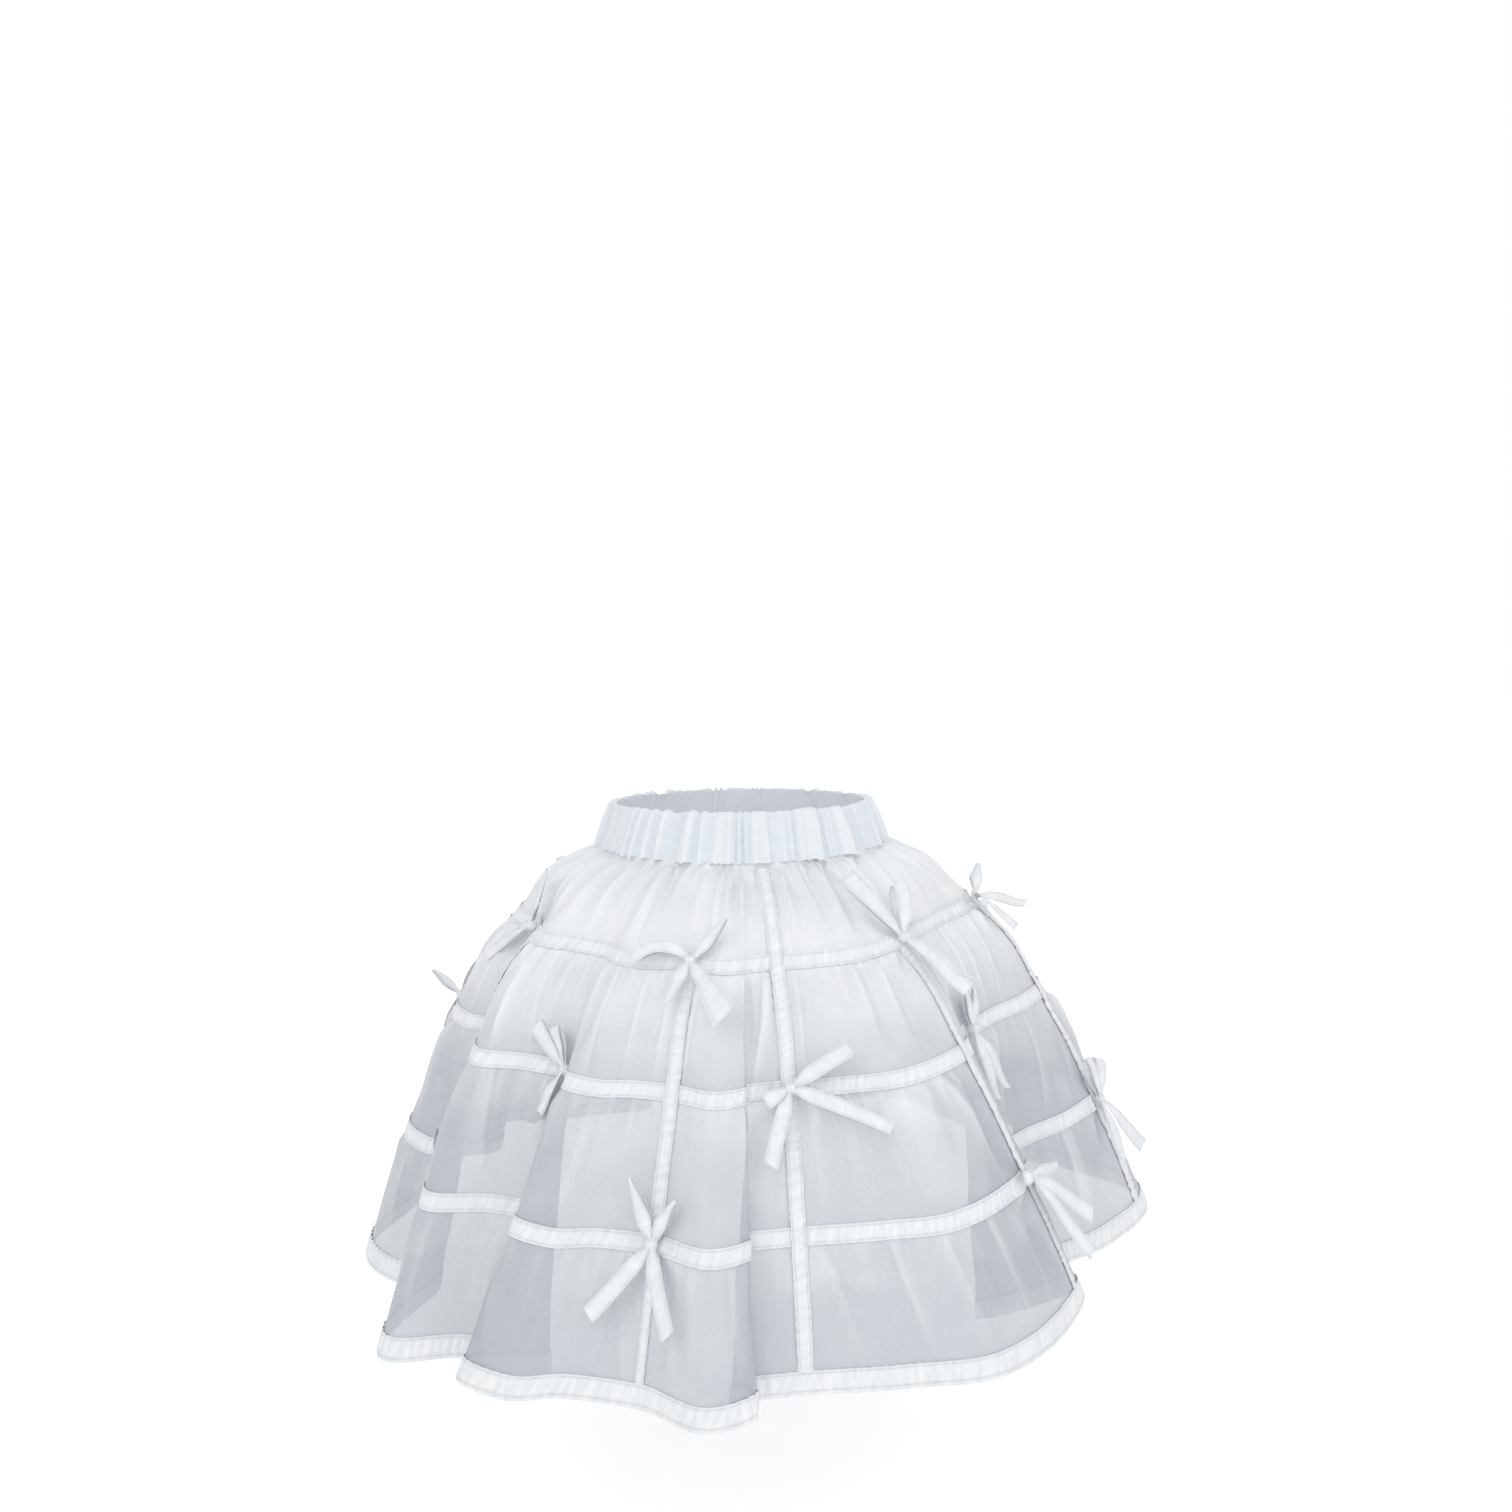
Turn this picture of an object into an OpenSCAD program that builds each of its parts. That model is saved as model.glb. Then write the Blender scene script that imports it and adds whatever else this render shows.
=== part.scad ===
// Crinoline cage skirt: four gathered tiers of sheer organza under a cage of cotton tapes.
// Ring tapes cover the seams, rib tapes run from waistband to hem, and bows are tied at the crossings.
// Millimetres, +Z up, the front faces -Y. The origin is the centre of the waist opening, at its top edge.

/* [Waistband] */
// Half width of the waist at the top edge
waist_w = 113; // [100:1:125]
// Half depth of the waist at the top edge
waist_d = 94; // [84:1:104]
// Half width of the waistband at its lower edge
band_w = 127; // [120:1:134]
// Half depth of the waistband at its lower edge
band_d = 106; // [100:1:112]
// Height of the waistband at the sides
band_h = 40; // [34:1:46]
// How much lower the waistband hangs at centre front and back
band_dip = 4; // [0:1:8]
// Depth of the waistband's small pleats, each way
pleat = 0.9; // [0.4:0.1:1]
// Thickness of the casing cloth
casing_t = 0.6; // [0.4:0.1:0.8]
// Thickness of the elastic
elastic_t = 1.2; // [0.8:0.1:1.4]

/* [Tiers] */
// Half width at the middle of tier 1
tier_1_w = 170; // [160:1:178]
// Half width at the middle of tier 2
tier_2_w = 238; // [228:1:248]
// Half width at the middle of tier 3
tier_3_w = 286; // [276:1:296]
// Half width at the middle of tier 4
tier_4_w = 326; // [316:1:336]
// Half width at the hem
hem_w = 343; // [330:1:356]
// Skirt depth over skirt width at the tiers
depth_share = 0.86; // [0.82:0.01:0.9]
// Depth over width at the hem
hem_depth_share = 0.92; // [0.88:0.01:0.96]
// How far the middle of tier 1 hangs below the waist
tier_1_drop = 57; // [53:1:62]
// How far the middle of tier 2 hangs below the waist
tier_2_drop = 128; // [120:1:136]
// How far the middle of tier 3 hangs below the waist
tier_3_drop = 218; // [210:1:226]
// How far the middle of tier 4 hangs below the waist
tier_4_drop = 318; // [308:1:326]
// How far the hem hangs below the waist
hem_drop = 368; // [358:1:380]
// How much lower the tiers hang at centre front and back
front_dip = 14; // [6:1:18]
// Thickness of the organza
organza_t = 0.6; // [0.4:0.1:0.8]
// Depth of the small gathers at each seam, each way
gather = 0.8; // [0.2:0.1:1]

/* [Tapes] */
// Width of the ring tapes
ring_w = 12.5; // [10:0.5:15]
// Width of the rib tapes
rib_w = 11; // [8:0.5:12]
// Width of the hem tape
hem_tape_w = 16; // [12:0.5:20]
// Thickness of every tape
tape_t = 0.6; // [0.4:0.1:0.8]
// Room between one layer and the next
layer_gap = 0.3; // [0.25:0.05:0.4]

/* [Bows] */
// Width of the tape that the bows are tied from
bow_w = 11; // [9:0.5:12]
// Height of a loop where it stands open
loop_h = 9; // [7:0.5:11]
// Radius of a knot
knot_r = 3.6; // [3:0.2:4.4]
// Angle by which loops and tails stand off the skirt
bow_lift = 14; // [10:1:20]

/* [Hidden] */
rib_count = 14;
cols_per_rib = 7;
cols = rib_count * cols_per_rib;
first_rib_col = (cols_per_rib - 1) / 2;
// How many columns each rib is sewn off its even place, going round from centre back
rib_shift = [0, 0, 0, 0, 0, 0, 0, -1, 1, 0, 0, 0, 0, 0];
function rib_col(k) = first_rib_col + k * cols_per_rib + rib_shift[k];

// Folds at the hem, going round: the angle from centre front and the reach as a share of the hem oval.
// Where the angle turns back, the cloth doubles over itself in a tuck.
hem_folds = [
    [-77, 0.96], [-66, 0.92], [-60, 0.84], [-48, 1.08], [-40, 0.97], [-28, 0.92],
    [-37, 1.03], [-29, 1.05], [-23, 1.00], [-13, 1.00], [-5, 1.07], [1, 1.01],
    [-2, 0.96], [9, 0.94], [22, 0.97], [33, 1.01], [49, 0.96], [58, 0.90],
    [41, 0.80], [62, 0.81], [76, 0.93], [91, 1.05], [103, 0.95], [112, 0.86],
    [119, 1.02], [127, 1.00], [122, 0.87], [138, 0.95], [150, 1.03], [163, 0.90],
    [178, 1.02], [190, 0.93], [199, 1.05], [207, 1.02], [202, 0.87], [220, 0.93],
    [230, 1.03], [240, 0.86], [251, 1.00], [265, 0.88]
];
fold_count = len(hem_folds);
// Where centre front lies on the list of folds
front_fold = 11.2;

// Levels down the skirt: the band's lower edge, the middle of each tier and the hem.
// Each is [half width, half depth, drop at the sides, drop at the front, fold share, sway share].
seam_drop = 1;
tuck_in = 6;
// How far outside the waistband's middle surface the first tier hangs
cloth_off = 0.6;
levels = [
    [band_w + cloth_off, band_d + cloth_off, band_h + seam_drop, band_h + band_dip + seam_drop, 0, 0],
    [tier_1_w, tier_1_w * (depth_share - 0.03), tier_1_drop, tier_1_drop + front_dip - 1, 0.22, 0.04],
    [tier_2_w, tier_2_w * depth_share, tier_2_drop, tier_2_drop + front_dip + 4, 0.58, 0.22],
    [tier_3_w, tier_3_w * (depth_share + 0.02), tier_3_drop, tier_3_drop + front_dip, 0.8, 0.52],
    [tier_4_w, tier_4_w * (depth_share + 0.05), tier_4_drop, tier_4_drop + front_dip / 2, 0.95, 0.84],
    [hem_w, hem_w * hem_depth_share, hem_drop, hem_drop, 1, 1]
];
// Gathers on each row of the cloth: pinched at the seams and eased between them
row_gather = [1, 1, 0.4, 1, 0.4, 1, 0.4, 1, 0.3, 0];
band_bottom_row = 1;
ring_rows = [3, 5, 7];
hem_row = 9;

tape_in = organza_t / 2 + layer_gap;
tape_out = tape_in + tape_t;
rib_in = tape_out + layer_gap;
rib_out = rib_in + tape_t;
seam_gap = 0.15;
rib_start = 0.1;
// Most that a tape lies further out in a narrow crease, times its usual room
crease_most = 1.6;

cloth_white = [0.93, 0.95, 0.97];
organza_grey = [0.82, 0.84, 0.86, 0.7];
elastic_white = [0.96, 0.96, 0.94];

loop_steps = 14;
tail_steps = 8;
tail_wave = 1.6;
knot_w = 8;
knot_bulge = 0.8;

// Ways a bow hangs: right loop, left loop, right tail, left tail, each [direction, length].
// Directions are seen from outside, anticlockwise from the wearer's left.
bow_poses = [
    [[66, 32], [112, 42], [-73, 58], [-130, 60]],
    [[40, 37], [195, 34], [-52, 58], [-122, 50]],
    [[-21, 70], [207, 20], [30, 50], [-112, 58]],
    [[52, 30], [132, 62], [-44, 64], [-62, 66]],
    [[-3, 50], [170, 18], [-39, 70], [-66, 76]],
    [[66, 20], [117, 50], [-150, 34], [-129, 66]],
    [[78, 34], [102, 38], [-80, 54], [-101, 60]],
    [[100, 30], [135, 42], [-50, 36], [-82, 46]],
    [[100, 30], [140, 40], [-78, 50], [-96, 55]]
];
// Which way each bow hangs, by rib, going round from centre back: rings 1 and 3, or ring 2
rib_bows = [
    [0, 1], [6], [6, 6], [6], [5, 8], [7], [1, 0],
    [2], [3, 4], [6], [1, 0], [6], [0, 6], [6]
];

function has_two_bows(k) = len(rib_bows[k]) == 2;
function rib_name(k) = str("rib_tape_", k + 1);
function bow_name(k, ring) = str("bow_rib", k + 1, "_ring", ring);
function bow_rings(k) = has_two_bows(k) ? [1, 3] : [2];
rib_names = [for (k = [0 : rib_count - 1]) rib_name(k)];
bow_names = [for (k = [0 : rib_count - 1]) for (ring = bow_rings(k)) bow_name(k, ring)];

// Radius of an oval at an angle from centre front
function oval(angle, w, d) = 1 / sqrt(pow(sin(angle) / w, 2) + pow(cos(angle) / d, 2));
function polar(angle, reach, z) = [reach * sin(angle), -reach * cos(angle), z];
function mix(a, b, f) = a + (b - a) * f;
function unit(v) = v / norm(v);
function wrap(j) = (j + cols) % cols;

// Fold k of the list, carried on past its ends
function fold(k) =
    let (turn = floor(k / fold_count), f = hem_folds[k - turn * fold_count])
    [f[0] + 360 * turn, f[1]];
// Smooth curve through four neighbouring folds
function spline(p, f) =
    0.5 * (2 * p[1] + (p[2] - p[0]) * f + (2 * p[0] - 5 * p[1] + 4 * p[2] - p[3]) * f * f
        + (3 * p[1] - p[0] - 3 * p[2] + p[3]) * f * f * f);
function hem_curve(t) =
    let (k = floor(t))
    spline([fold(k - 1), fold(k), fold(k + 1), fold(k + 2)], t - k);
function fold_place(k) =
    let (f = fold(k))
    polar(f[0], f[1] * oval(f[0], hem_w, hem_w * hem_depth_share), 0);
function cloth_up_to(k) = k == 0 ? 0 : cloth_up_to(k - 1) + norm(fold_place(k) - fold_place(k - 1));

// The cloth is shared out evenly round the waist, so a fold's waist angle follows the length of hem before it
hem_cloth = cloth_up_to(fold_count);
front_cloth = mix(cloth_up_to(floor(front_fold)), cloth_up_to(ceil(front_fold)), front_fold - floor(front_fold));
waist_table = [for (k = [0 : fold_count]) [(cloth_up_to(k) - front_cloth) * 360 / hem_cloth, k]];
col_angles = [for (j = [0 : cols - 1]) (j + 0.5) * 360 / cols - 180];
function hem_at(angle) =
    let (turn = floor((angle - waist_table[0][0]) / 360), c = hem_curve(lookup(angle - 360 * turn, waist_table)))
    [c[0] + 360 * turn, c[1]];
col_hems = [for (a = col_angles) hem_at(a)];

// A point of the waistband: moved out from its middle surface, at a share of the way down
function band_point(j, off, share) =
    let (
        angle = col_angles[j],
        drop = mix(band_h, band_h + band_dip, pow(cos(angle), 2)),
        reach = oval(angle, mix(waist_w, band_w, share), mix(waist_d, band_d, share))
    )
    polar(angle, reach + off, -drop * share);

// One row of the cloth at a level: angle swayed towards its place in the hem, reach drawn in and out by the folds
function level_row(v) = [
    for (j = [0 : cols - 1])
        let (
            angle = mix(col_angles[j], col_hems[j][0], v[5]),
            reach = oval(angle, v[0], v[1]) * (1 + v[4] * (col_hems[j][1] - 1)),
            front = pow(cos(angle), 2)
        )
        polar(angle, reach, -mix(v[2], v[3], front))
];
function mid_row(a, b) = [for (j = [0 : cols - 1]) (a[j] + b[j]) / 2];
level_rows = [for (v = levels) level_row(v)];
top_row = [for (j = [0 : cols - 1]) band_point(j, cloth_off, 1 - tuck_in / band_h)];
raw = [
    top_row, level_rows[0], level_rows[1], mid_row(level_rows[1], level_rows[2]), level_rows[2],
    mid_row(level_rows[2], level_rows[3]), level_rows[3], mid_row(level_rows[3], level_rows[4]),
    level_rows[4], level_rows[5]
];
function out_of(i, j) =
    let (
        down = raw[min(i + 1, hem_row)][j] - raw[max(i - 1, 0)][j],
        along = unit(raw[i][wrap(j + 1)] - raw[i][j]) - unit(raw[i][wrap(j - 1)] - raw[i][j])
    )
    i <= band_bottom_row ? polar(col_angles[j], 1, 0) : unit(cross(down, along));
outs = [for (i = [0 : hem_row]) [for (j = [0 : cols - 1]) out_of(i, j)]];
function gather_at(i) = i <= band_bottom_row ? pleat : row_gather[i] * gather;
function pleat_sign(j) = j % 2 == 0 ? 1 : -1;
cloth = [
    for (i = [0 : hem_row])
        [for (j = [0 : cols - 1]) raw[i][j] + outs[i][j] * gather_at(i) * pleat_sign(j)]
];

// A point of the cloth on column j, at row i and a share f of the way to the next row, raised by r
function on_cloth(i, f, j, r) =
    f == 0
    ? cloth[i][j] + outs[i][j] * r
    : mix(cloth[i][j], cloth[i + 1][j], f) + unit(mix(outs[i][j], outs[i + 1][j], f)) * r;
function cloth_ring(i, f, r) = [for (j = [0 : cols - 1]) on_cloth(i, f, j, r)];
function row_step(i) = norm(cloth[i + 1][0] - cloth[i][0]);
// Where the hem tape's upper edge lies between the last two rows
hem_share = 1 - hem_tape_w / row_step(hem_row - 1);

// Two triangles over a patch of cloth with corners a, b, c, d, creased outwards if proud and inwards if not
function patch(points, half, a, b, c, d, proud) =
    let (
        bulge = (points[a] + points[c] - points[b] - points[d]) * (points[half + a] - points[a]),
        slant = (bulge > 0) == proud
    )
    slant
    ? [[half + a, half + b, half + c], [half + a, half + c, half + d], [a, c, b], [a, d, c]]
    : [[half + b, half + c, half + d], [half + b, half + d, half + a], [b, d, c], [b, a, d]];

// Closed shell between an inner and an outer list of rows that go right round
module round_shell(inner, outer, proud = true) {
    rows = len(inner);
    half = rows * cols;
    function at(i, j) = i * cols + wrap(j);
    points = [for (rows_of = [inner, outer]) for (row = rows_of) for (p = row) p];
    walls = [
        for (i = [0 : rows - 2]) for (j = [0 : cols - 1])
            let (a = at(i, j), b = at(i, j + 1), c = at(i + 1, j + 1), d = at(i + 1, j))
            each patch(points, half, a, b, c, d, proud)
    ];
    last = rows - 1;
    edges = [
        for (j = [0 : cols - 1])
            let (a = at(0, j), b = at(0, j + 1), c = at(last, j + 1), d = at(last, j))
            each [
                [a, b, half + b], [a, half + b, half + a],
                [half + d, half + c, c], [half + d, c, d]
            ]
    ];
    polyhedron(points, concat(walls, edges), convexity = 10);
}

// Closed strip between an inner and an outer list of rows with two free sides
module open_strip(inner, outer) {
    rows = len(inner);
    wide = len(inner[0]);
    half = rows * wide;
    last = rows - 1;
    function at(i, j) = i * wide + j;
    points = [for (rows_of = [inner, outer]) for (row = rows_of) for (p = row) p];
    walls = [
        for (i = [0 : last - 1]) for (j = [0 : wide - 2])
            let (a = at(i, j), b = at(i, j + 1), c = at(i + 1, j + 1), d = at(i + 1, j))
            each patch(points, half, a, b, c, d, true)
    ];
    ends = [
        for (j = [0 : wide - 2])
            let (a = at(0, j), b = at(0, j + 1), c = at(last, j + 1), d = at(last, j))
            each [
                [a, b, half + b], [a, half + b, half + a],
                [half + d, half + c, c], [half + d, c, d]
            ]
    ];
    sides = [
        for (i = [0 : last - 1])
            let (a = at(i, 0), d = at(i + 1, 0), b = at(i, wide - 1), c = at(i + 1, wide - 1))
            each [
                [a, half + a, half + d], [a, half + d, d],
                [half + b, b, c], [half + b, c, half + c]
            ]
    ];
    polyhedron(points, concat(walls, ends, sides), convexity = 4);
}

// Ring with the same closed section on every column
module section_ring(sections) {
    k_count = len(sections[0]);
    function at(j, k) = wrap(j) * k_count + (k % k_count);
    points = [for (s = sections) for (p = s) p];
    faces = [
        for (j = [0 : cols - 1]) for (k = [0 : k_count - 1])
            each [
                [at(j, k), at(j + 1, k), at(j + 1, k + 1)],
                [at(j, k), at(j + 1, k + 1), at(j, k + 1)]
            ]
    ];
    polyhedron(points, faces, convexity = 6);
}

inner_face = -elastic_t - layer_gap * 2 - casing_t;
channel_in = inner_face + casing_t;
elastic_out = -layer_gap;
elastic_in = elastic_out - elastic_t;
channel_out = cloth_off + organza_t / 2 + layer_gap;
outer_face = channel_out + casing_t;

module waistband_casing() {
    top = casing_t / band_h;
    color(cloth_white)
        section_ring([
            for (j = [0 : cols - 1])
                let (fold_out = pleat * pleat_sign(j))
                [
                    band_point(j, outer_face + fold_out, 0), band_point(j, outer_face + fold_out, 1),
                    band_point(j, channel_out + fold_out, 1), band_point(j, channel_out + fold_out, top),
                    band_point(j, channel_in, top), band_point(j, channel_in, 1),
                    band_point(j, inner_face, 1), band_point(j, inner_face, 0)
                ]
        ]);
}

module waist_elastic() {
    high = 0.1;
    low = 0.78;
    color(elastic_white)
        section_ring([
            for (j = [0 : cols - 1])
                [
                    band_point(j, elastic_out, high), band_point(j, elastic_out, low),
                    band_point(j, elastic_in, low), band_point(j, elastic_in, high)
                ]
        ]);
}

// Organza tier n, from the seam above it to the seam below it
module tier(n) {
    first = n == 1 ? 0 : ring_rows[n - 2];
    last = n == 4 ? hem_row : ring_rows[n - 1];
    top_share = n == 1 ? 0 : seam_gap / row_step(first);
    end_share = n == 4 ? 1 : 1 - seam_gap / row_step(last - 1);
    function rows(r) = concat(
        [cloth_ring(first, top_share, r)],
        [for (i = [first + 1 : 1 : last - 1]) cloth_ring(i, 0, r)],
        n == 4 ? [cloth_ring(last - 1, hem_share, r)] : [],
        [cloth_ring(last - 1, end_share, r)]
    );
    color(organza_grey)
        round_shell(rows(-organza_t / 2), rows(organza_t / 2), false);
}

module tier_1() tier(1);
module tier_2() tier(2);
module tier_3() tier(3);
module tier_4() tier(4);

// Ring tape n, over the seam below tier n
module ring_tape(n) {
    i = ring_rows[n - 1];
    above = 1 - ring_w / 2 / row_step(i - 1);
    below = ring_w / 2 / row_step(i);
    color(cloth_white)
        round_shell(
            [cloth_ring(i - 1, above, tape_in), cloth_ring(i, below, tape_in)],
            [cloth_ring(i - 1, above, tape_out), cloth_ring(i, below, tape_out)]
        );
}

module ring_tape_1() ring_tape(1);
module ring_tape_2() ring_tape(2);
module ring_tape_3() ring_tape(3);

module hem_tape() {
    i = hem_row - 1;
    color(cloth_white)
        round_shell(
            [cloth_ring(i, hem_share, tape_in), cloth_ring(i, 1, tape_in)],
            [cloth_ring(i, hem_share, tape_out), cloth_ring(i, 1, tape_out)]
        );
}

// How much further out a tape lies at the bottom of a crease or on a ridge, so that its sides clear the cloth
function crease_room(i, f, j) =
    let (
        out = on_cloth(i, f, j, 1) - on_cloth(i, f, j, 0),
        sides = [for (k = [j - 1, j + 1]) unit(on_cloth(i, f, k, 0) - on_cloth(i, f, j, 0)) * out]
    )
    min(crease_most, 1 / sqrt(1 - pow(max(abs(sides[0]), abs(sides[1])), 2)));

// Three points across a rib tape, raised by r from the cloth on either side of its column
function rib_row(i, f, j, r) =
    let (
        base = on_cloth(i, f, j, 0),
        mid = on_cloth(i, f, j, r * crease_room(i, f, j)),
        left = on_cloth(i, f, j - 1, 0) - base,
        right = on_cloth(i, f, j + 1, 0) - base
    )
    [
        mid + left * min(1, rib_w / 2 / norm(left)),
        mid,
        mid + right * min(1, rib_w / 2 / norm(right))
    ];

module rib_tape(k) {
    j = rib_col(k);
    end_share = hem_share - layer_gap / row_step(hem_row - 1);
    function rows(r) = concat(
        [rib_row(band_bottom_row, rib_start, j, r)],
        [for (i = [band_bottom_row + 1 : hem_row - 1]) rib_row(i, 0, j, r)],
        [rib_row(hem_row - 1, end_share, j, r)]
    );
    color(cloth_white)
        open_strip(rows(rib_in), rows(rib_out));
}

// Tape seen edge on, raised to its width
module tape_from_edge() {
    rotate([90, 0, 0])
        linear_extrude(height = bow_w, center = true)
            children();
}

module bow_loop(length) {
    function drop_line(inset) = [
        for (n = [0 : loop_steps - 1])
            let (t = 360 * n / loop_steps)
            [inset + (length / 2 - inset) * (1 - cos(t)), (loop_h / 2 - inset) * sin(t) * sin(t / 2)]
    ];
    tape_from_edge()
        difference() {
            polygon(drop_line(0));
            polygon(drop_line(tape_t));
        }
}

module bow_tail(length) {
    function line(side) = [
        for (n = [0 : tail_steps])
            [length * n / tail_steps, side * tape_t / 2 + tail_wave * sin(300 * n / tail_steps)]
    ];
    back = line(-1);
    tape_from_edge()
        polygon(concat(line(1), [for (n = [tail_steps : -1 : 0]) back[n]]));
}

module bow_knot() {
    rotate([0, 90, 0])
        rotate_extrude($fn = 24)
            polygon([
                [0, -knot_w / 2], [knot_r - knot_bulge, -knot_w / 2], [knot_r, -knot_w / 4],
                [knot_r, knot_w / 4], [knot_r - knot_bulge, knot_w / 2], [0, knot_w / 2]
            ]);
}

// How steeply the cloth rises on either side of a column, as a sine
function hollow(i, j) = max(
    0,
    outs[i][j] * unit(cloth[i][j + 1] - cloth[i][j]),
    outs[i][j] * unit(cloth[i][j - 1] - cloth[i][j])
);

// Turned along the skirt, and lifted off it so as to clear the sides of a hollow
module point_to(direction, rise) {
    rotate([0, 0, direction])
        rotate([0, -bow_lift - asin(rise) * abs(cos(direction)), 0])
            children();
}

// Bow tied where rib k crosses a ring
module bow(k, ring) {
    j = rib_col(k);
    i = ring_rows[ring - 1];
    out = outs[i][j];
    across = unit(cross([0, 0, 1], out));
    up = cross(out, across);
    rise = hollow(i, j);
    seat = cloth[i][j] + out * (rib_out * crease_room(i, 0, j) + layer_gap + knot_r + rise * knot_w / 2);
    pose = bow_poses[rib_bows[k][ring == 3 ? 1 : 0]];
    color(cloth_white)
        multmatrix([
            [across[0], up[0], out[0], seat[0]],
            [across[1], up[1], out[1], seat[1]],
            [across[2], up[2], out[2], seat[2]],
            [0, 0, 0, 1]
        ])
            union() {
                bow_knot();
                for (n = [0, 1])
                    point_to(pose[n][0], rise)
                        bow_loop(pose[n][1]);
                for (n = [2, 3])
                    point_to(pose[n][0], rise)
                        bow_tail(pose[n][1]);
            }
}

waistband_casing();
waist_elastic();
tier_1();
tier_2();
tier_3();
tier_4();
ring_tape_1();
ring_tape_2();
ring_tape_3();
hem_tape();
for (k = [0 : rib_count - 1])
    rib_tape(k);
for (k = [0 : rib_count - 1])
    for (ring = bow_rings(k))
        bow(k, ring);
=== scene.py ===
import math
import bpy
import numpy as np
from mathutils import Matrix


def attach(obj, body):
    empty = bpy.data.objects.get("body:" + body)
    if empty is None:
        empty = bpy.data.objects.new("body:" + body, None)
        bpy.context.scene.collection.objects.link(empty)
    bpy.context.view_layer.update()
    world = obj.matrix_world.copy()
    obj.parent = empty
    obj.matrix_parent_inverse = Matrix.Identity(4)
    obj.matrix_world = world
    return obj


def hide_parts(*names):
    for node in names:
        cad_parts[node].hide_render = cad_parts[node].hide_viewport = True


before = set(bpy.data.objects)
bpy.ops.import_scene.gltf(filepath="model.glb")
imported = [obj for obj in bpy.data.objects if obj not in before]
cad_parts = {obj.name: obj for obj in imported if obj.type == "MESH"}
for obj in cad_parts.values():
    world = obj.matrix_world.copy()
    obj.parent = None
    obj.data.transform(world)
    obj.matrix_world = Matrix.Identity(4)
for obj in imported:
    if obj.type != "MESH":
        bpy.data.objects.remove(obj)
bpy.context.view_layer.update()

scene = bpy.context.scene
print("frame loaded,", len(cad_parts), "nodes")

# the skirt's drape, in mm; angles in degrees from centre front, growing towards +X
drape = {
    "waist": (113, 94), "band": (127, 106),  # half width and depth of the waistband, at its top and below
    "bandDrop": (40, 44),  # its height at the sides and at the front
    # half width, half depth, drop at sides, drop at front, share of the folds, share of the sway
    "levels": [(127.6, 106.6, 41, 45, 0, 0), (170, 141.1, 57, 70, .22, .04), (238, 204.7, 128, 146, .58, .22),
               (286, 251.7, 218, 232, .8, .52), (326, 296.7, 318, 325, .95, .84), (343, 315.6, 368, 368, 1, 1)],
    # folds at the hem: angle, reach as a share of the hem oval
    "folds": [(-77, .96), (-66, .92), (-60, .84), (-48, 1.08), (-40, .97), (-28, .92), (-37, 1.03), (-29, 1.05),
              (-23, 1), (-13, 1), (-5, 1.07), (1, 1.01), (-2, .96), (9, .94), (22, .97), (33, 1.01), (49, .96),
              (58, .90), (41, .80), (62, .81), (76, .93), (91, 1.05), (103, .95), (112, .86), (119, 1.02), (127, 1),
              (122, .87), (138, .95), (150, 1.03), (163, .90), (178, 1.02), (190, .93), (199, 1.05), (207, 1.02),
              (202, .87), (220, .93), (230, 1.03), (240, .86), (251, 1), (265, .88)],
    "frontFold": 11.2,  # place of centre front on that list
    "seams": (730, 1190, 1630, 2110, 2740),  # length of cloth at the waist, the rings and the hem
    "ribs": 14, "ribShift": {7: -360 / 98, 8: 360 / 98},  # two front ribs are sewn a little off their even places
    "round": 1176, "tierRows": 36,  # columns round the skirt, rows down a tier
}
folds = np.array(drape["folds"], float)
foldCount = len(folds)
levels = np.array(drape["levels"], float)
seams = np.array(drape["seams"])


def evenAngles(count):
    return -180 + (np.arange(count) + .5) * 360 / count


ribAngles = evenAngles(drape["ribs"])
for k, shift in drape["ribShift"].items():
    ribAngles[k] += shift
roundAngles = evenAngles(drape["round"])
tapeAngles = -180 + (np.arange(2 * drape["round"]) + .25) * 180 / drape["round"]  # twice as fine, for the puckers


def smoothStep(x):  # 0 to 1 with flat ends: 3x^2 - 2x^3
    x = np.clip(x, 0, 1)
    return x * x * (3 - 2 * x)


def unit(v):
    return v / np.maximum(np.linalg.norm(v, axis=-1, keepdims=True), 1e-9)


def cubicThrough(p0, p1, p2, p3, f):  # smooth curve between p1 and p2 that heads for their neighbours
    bend, turn = 2 * p0 - 5 * p1 + 4 * p2 - p3, 3 * p1 - p0 - 3 * p2 + p3
    return .5 * (2 * p1 + (p2 - p0) * f + bend * f ** 2 + turn * f ** 3)


def oval(angle, w, d):  # reach of an oval of half width w and half depth d
    r = np.radians(angle)
    return 1 / np.sqrt((np.sin(r) / w) ** 2 + (np.cos(r) / d) ** 2)


def foldAt(k):  # fold k, carried on past both ends of the list
    turn = k // foldCount
    f = folds[k - turn * foldCount]
    return np.stack([f[..., 0] + 360 * turn, f[..., 1]], -1)


# the cloth is shared evenly round the waist, so the waist angle of a fold follows the hem length before it
foldOrder = np.arange(foldCount + 1)
foldRing = foldAt(foldOrder)
foldReach = foldRing[:, 1] * oval(foldRing[:, 0], *levels[-1, :2])
foldTurn = np.radians(foldRing[:, 0])
foldPlace = np.stack([foldReach * np.sin(foldTurn), -foldReach * np.cos(foldTurn)], -1)
hemLength = np.concatenate([[0], np.cumsum(np.linalg.norm(np.diff(foldPlace, axis=0), axis=1))])
waistAngles = (hemLength - np.interp(drape["frontFold"], foldOrder, hemLength)) * 360 / hemLength[-1]


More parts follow.
